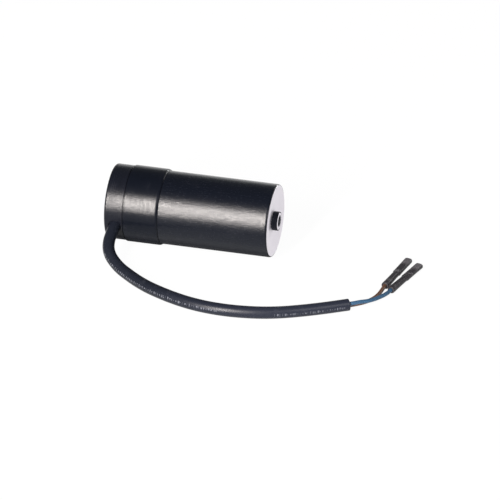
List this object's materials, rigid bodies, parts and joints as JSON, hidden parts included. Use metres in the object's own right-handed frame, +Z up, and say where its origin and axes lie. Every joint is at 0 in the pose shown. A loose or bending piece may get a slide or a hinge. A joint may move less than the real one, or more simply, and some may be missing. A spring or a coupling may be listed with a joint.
{
  "type": "motor start capacitor",
  "caption": "Cylindrical motor start capacitor lying on its side: sleeved can, moulded end cap, threaded base boss and a flexible lead with push-on terminals.",
  "frame": {"origin": "under the middle of the capacitor's body, on the table that it lies on", "axes": "+X along the can's axis towards the boss on its base, +Z up; the lead lies on the -Y side"},
  "size_m": [0.1724, 0.096, 0.0417],
  "materials": {
    "can_metal": "pale satin drawn aluminium",
    "sleeve_black": "satin black shrunk film",
    "collar_black": "matte black",
    "cap_black": "satin black moulding",
    "lid_board": "pressed phenolic board",
    "seal_rubber": "matte rubber",
    "rivet_metal": "bright aluminium",
    "tag_brass": "plain brass",
    "tinned_brass": "tinned brass",
    "winding_paper": "wound paper and foil",
    "liner_paper": "plain pressboard",
    "tie_nylon": "natural nylon",
    "jacket_black": "satin black PVC",
    "core_blue": "gloss blue PVC",
    "core_brown": "gloss brown PVC",
    "terminal_black": "dark grey soft plastic"
  },
  "bodies": {
    "root": {"can": "can_metal", "can_sleeve": "sleeve_black", "boss_collar": "collar_black", "end_cap": "cap_black", "lid": "lid_board", "seal_ring": "seal_rubber", "vent_plug": "seal_rubber", "lid_rivets": "rivet_metal", "upper_tag": "tag_brass", "lower_tag": "tag_brass", "upper_foil_tab": "rivet_metal", "lower_foil_tab": "rivet_metal", "wound_element": "winding_paper", "can_liner": "liner_paper", "base_disc": "liner_paper", "upper_receptacle": "tinned_brass", "lower_receptacle": "tinned_brass", "brown_lead": "core_brown", "blue_lead": "core_blue", "cable_tie": "tie_nylon", "cable_jacket": "jacket_black", "blue_core": "core_blue", "brown_core": "core_brown", "blue_contact": "tinned_brass", "brown_contact": "tinned_brass", "blue_terminal_sleeve": "terminal_black", "brown_terminal_sleeve": "terminal_black"}
  },
  "joints": []
}
